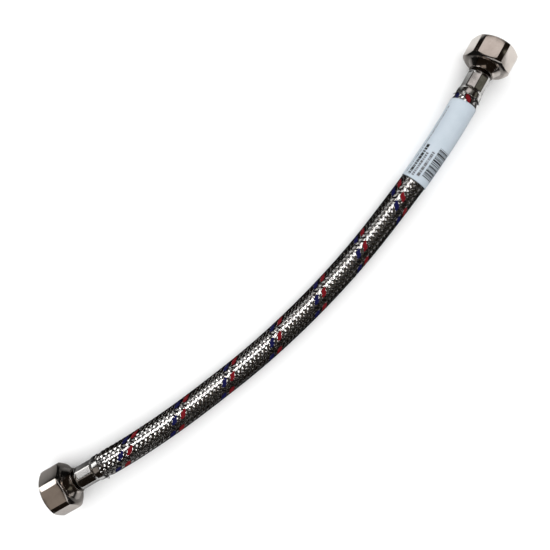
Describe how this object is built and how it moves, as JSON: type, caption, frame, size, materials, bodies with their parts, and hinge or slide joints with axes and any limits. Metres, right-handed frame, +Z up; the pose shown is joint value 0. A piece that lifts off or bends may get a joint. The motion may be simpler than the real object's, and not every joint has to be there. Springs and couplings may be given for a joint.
{
  "type": "flexible hose",
  "caption": "Braided flexible water connector hose lying in a gentle bow, with a crimped ferrule and a free-turning hexagon union nut at each end and a plain wrapped label.",
  "frame": {"origin": "on the ground, centred under the two end fittings", "axes": "+X along the straight line from the front face of nut a to the front face of nut b, +Z up; the hose bows towards -Y"},
  "size_m": [0.344, 0.0468, 0.026],
  "materials": {
    "nickel_plate": "nickel plated, polished, warm grey",
    "seal_rubber": "matt black",
    "raw_brass": "turned, unplated, coppery",
    "stainless_sleeve": "bright rolled stainless",
    "tube_rubber": "smooth black",
    "steel_braid": "woven bright stainless wire with one red and one blue marker yarn",
    "label_paper": "coated white, satin"
  },
  "bodies": {
    "hose": {"braid_sleeve": "steel_braid", "inner_tube": "tube_rubber", "label": "label_paper", "ferrule_a": "stainless_sleeve", "ferrule_b": "stainless_sleeve", "stem_a": "raw_brass", "stem_b": "raw_brass"},
    "seal_a": {"washer_a": "seal_rubber"},
    "nut_a": {"swivel_nut_a": "nickel_plate"},
    "seal_b": {"washer_b": "seal_rubber"},
    "nut_b": {"swivel_nut_b": "nickel_plate"}
  },
  "joints": [
    {"name": "nut_a_slide", "type": "slide", "parent": "hose", "child": "seal_a", "axis": [-0.9636, 0.2672, 0], "range_m": [0, 0.0012]},
    {"name": "nut_a_swivel", "type": "hinge", "parent": "seal_a", "child": "nut_a", "pos_m": [-0.169, 0.0018, 0.012], "axis": [-0.9636, 0.2672, 0], "continuous": true},
    {"name": "nut_b_slide", "type": "slide", "parent": "hose", "child": "seal_b", "axis": [0.9636, 0.2672, 0], "range_m": [0, 0.0012]},
    {"name": "nut_b_swivel", "type": "hinge", "parent": "seal_b", "child": "nut_b", "pos_m": [0.169, 0.0018, 0.013], "axis": [0.9636, 0.2672, 0], "continuous": true}
  ]
}
